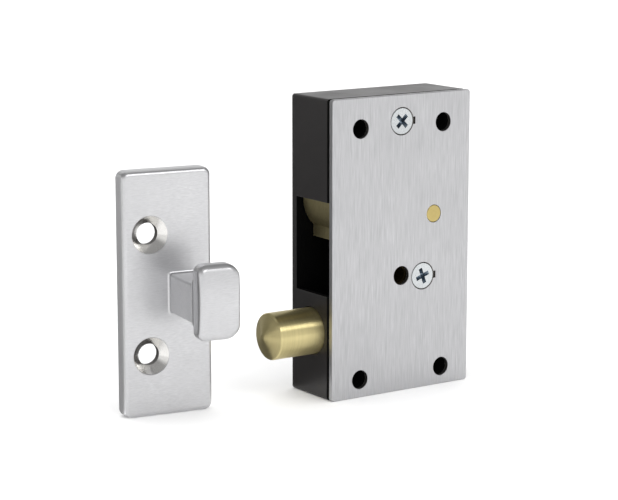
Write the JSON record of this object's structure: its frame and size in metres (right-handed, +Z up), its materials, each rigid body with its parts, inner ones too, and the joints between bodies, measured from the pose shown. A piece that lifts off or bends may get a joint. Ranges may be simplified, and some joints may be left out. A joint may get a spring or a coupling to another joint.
{
  "type": "rim night latch",
  "caption": "Surface-mounted self-locking hook latch: slotted case with a brass lever, sprung round plunger and release hub, and a separate cast keeper with a crowned hook head.",
  "frame": {"origin": "centre of the case's back face, which lies against the door", "axes": "+Y into the door, so -Y looks out into the room; +Z up; -X is the slot side, where the keeper comes in"},
  "size_m": [0.1251, 0.0355, 0.1016],
  "materials": {
    "dark_enamel": "satin dark enamel on cast metal",
    "brushed_stainless": "straight brushed, along the height",
    "zinc_plated_steel": "bright zinc plating",
    "satin_brass": "turned, satin",
    "spring_steel": "drawn wire",
    "satin_chrome": "satin, brushed across"
  },
  "bodies": {
    "case": {"case": "dark_enamel", "front_plate": "brushed_stainless", "cover_screw_top": "zinc_plated_steel", "cover_screw_lower": "zinc_plated_steel", "pillar_top": "zinc_plated_steel", "pillar_lower": "zinc_plated_steel", "lever_pivot_pin": "satin_brass", "lever_spacer_front": "zinc_plated_steel", "lever_spacer_rear": "zinc_plated_steel", "lever_return_spring": "spring_steel", "spring_anchor_pin": "zinc_plated_steel", "lever_stop_pin": "zinc_plated_steel", "plunger_guide": "zinc_plated_steel", "guide_screw_upper": "zinc_plated_steel", "guide_screw_lower": "zinc_plated_steel", "guide_rod": "zinc_plated_steel", "plunger_spring": "spring_steel"},
    "lever": {"latch_lever": "satin_brass"},
    "plunger": {"plunger": "satin_brass", "plunger_ring": "spring_steel"},
    "hub": {"release_hub": "satin_brass"},
    "keeper": {"keeper": "satin_chrome"}
  },
  "joints": [
    {"name": "latch_lift", "type": "hinge", "parent": "case", "child": "lever", "pos_m": [0.01353, -0.0117, 0.0093], "axis": [0, 1, 0], "range_deg": [0, 21], "stiffness_Nm_per_rad": 0.03, "springref_deg": -22.92, "deforming": ["lever_return_spring"]},
    {"name": "plunger_travel", "type": "slide", "parent": "case", "child": "plunger", "axis": [1, 0, 0], "range_m": [0, 0.0175], "stiffness_N_per_m": 300, "springref_m": -0.02, "deforming": ["plunger_spring"]},
    {"name": "release_hub_turn", "type": "hinge", "parent": "case", "child": "hub", "pos_m": [-0.00007, -0.0117, -0.0107], "axis": [0, 1, 0], "range_deg": [0, 54.6]},
    {"name": "keeper_turn", "type": "hinge", "parent": "case", "child": "keeper", "pos_m": [-0.07497, -0.0131, -0.0102], "axis": [0, 0, 1], "range_deg": [0, 98.5]}
  ],
  "couplings": [
    {"joint": "release_hub_turn", "follows": "latch_lift", "ratio": 2.6}
  ]
}
